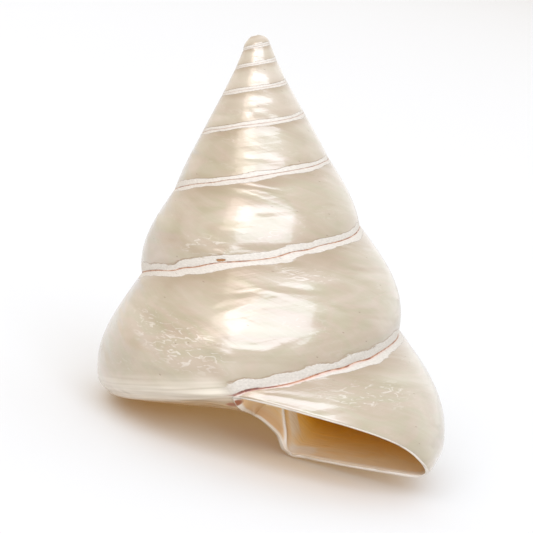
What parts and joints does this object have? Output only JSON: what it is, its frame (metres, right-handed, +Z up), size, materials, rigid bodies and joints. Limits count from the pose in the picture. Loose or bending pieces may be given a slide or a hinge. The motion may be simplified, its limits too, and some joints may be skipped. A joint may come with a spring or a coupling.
{
  "type": "top shell",
  "caption": "Tall conical sea snail shell polished to its nacre, coiled to the right, with a wide hollow aperture and a small umbilical pit.",
  "frame": {"origin": "middle of the underside of the box round the shell as it lies, so z = 0 is the surface it rests on", "axes": "+Z up with the apex on top, the aperture faces -Y and +X, and the shell rests on its columella's tip and the back left of its keel"},
  "size_m": [0.0724, 0.0676, 0.0797],
  "materials": {
    "nacre": "polished"
  },
  "bodies": {
    "root": {"shell": "nacre"}
  },
  "joints": []
}
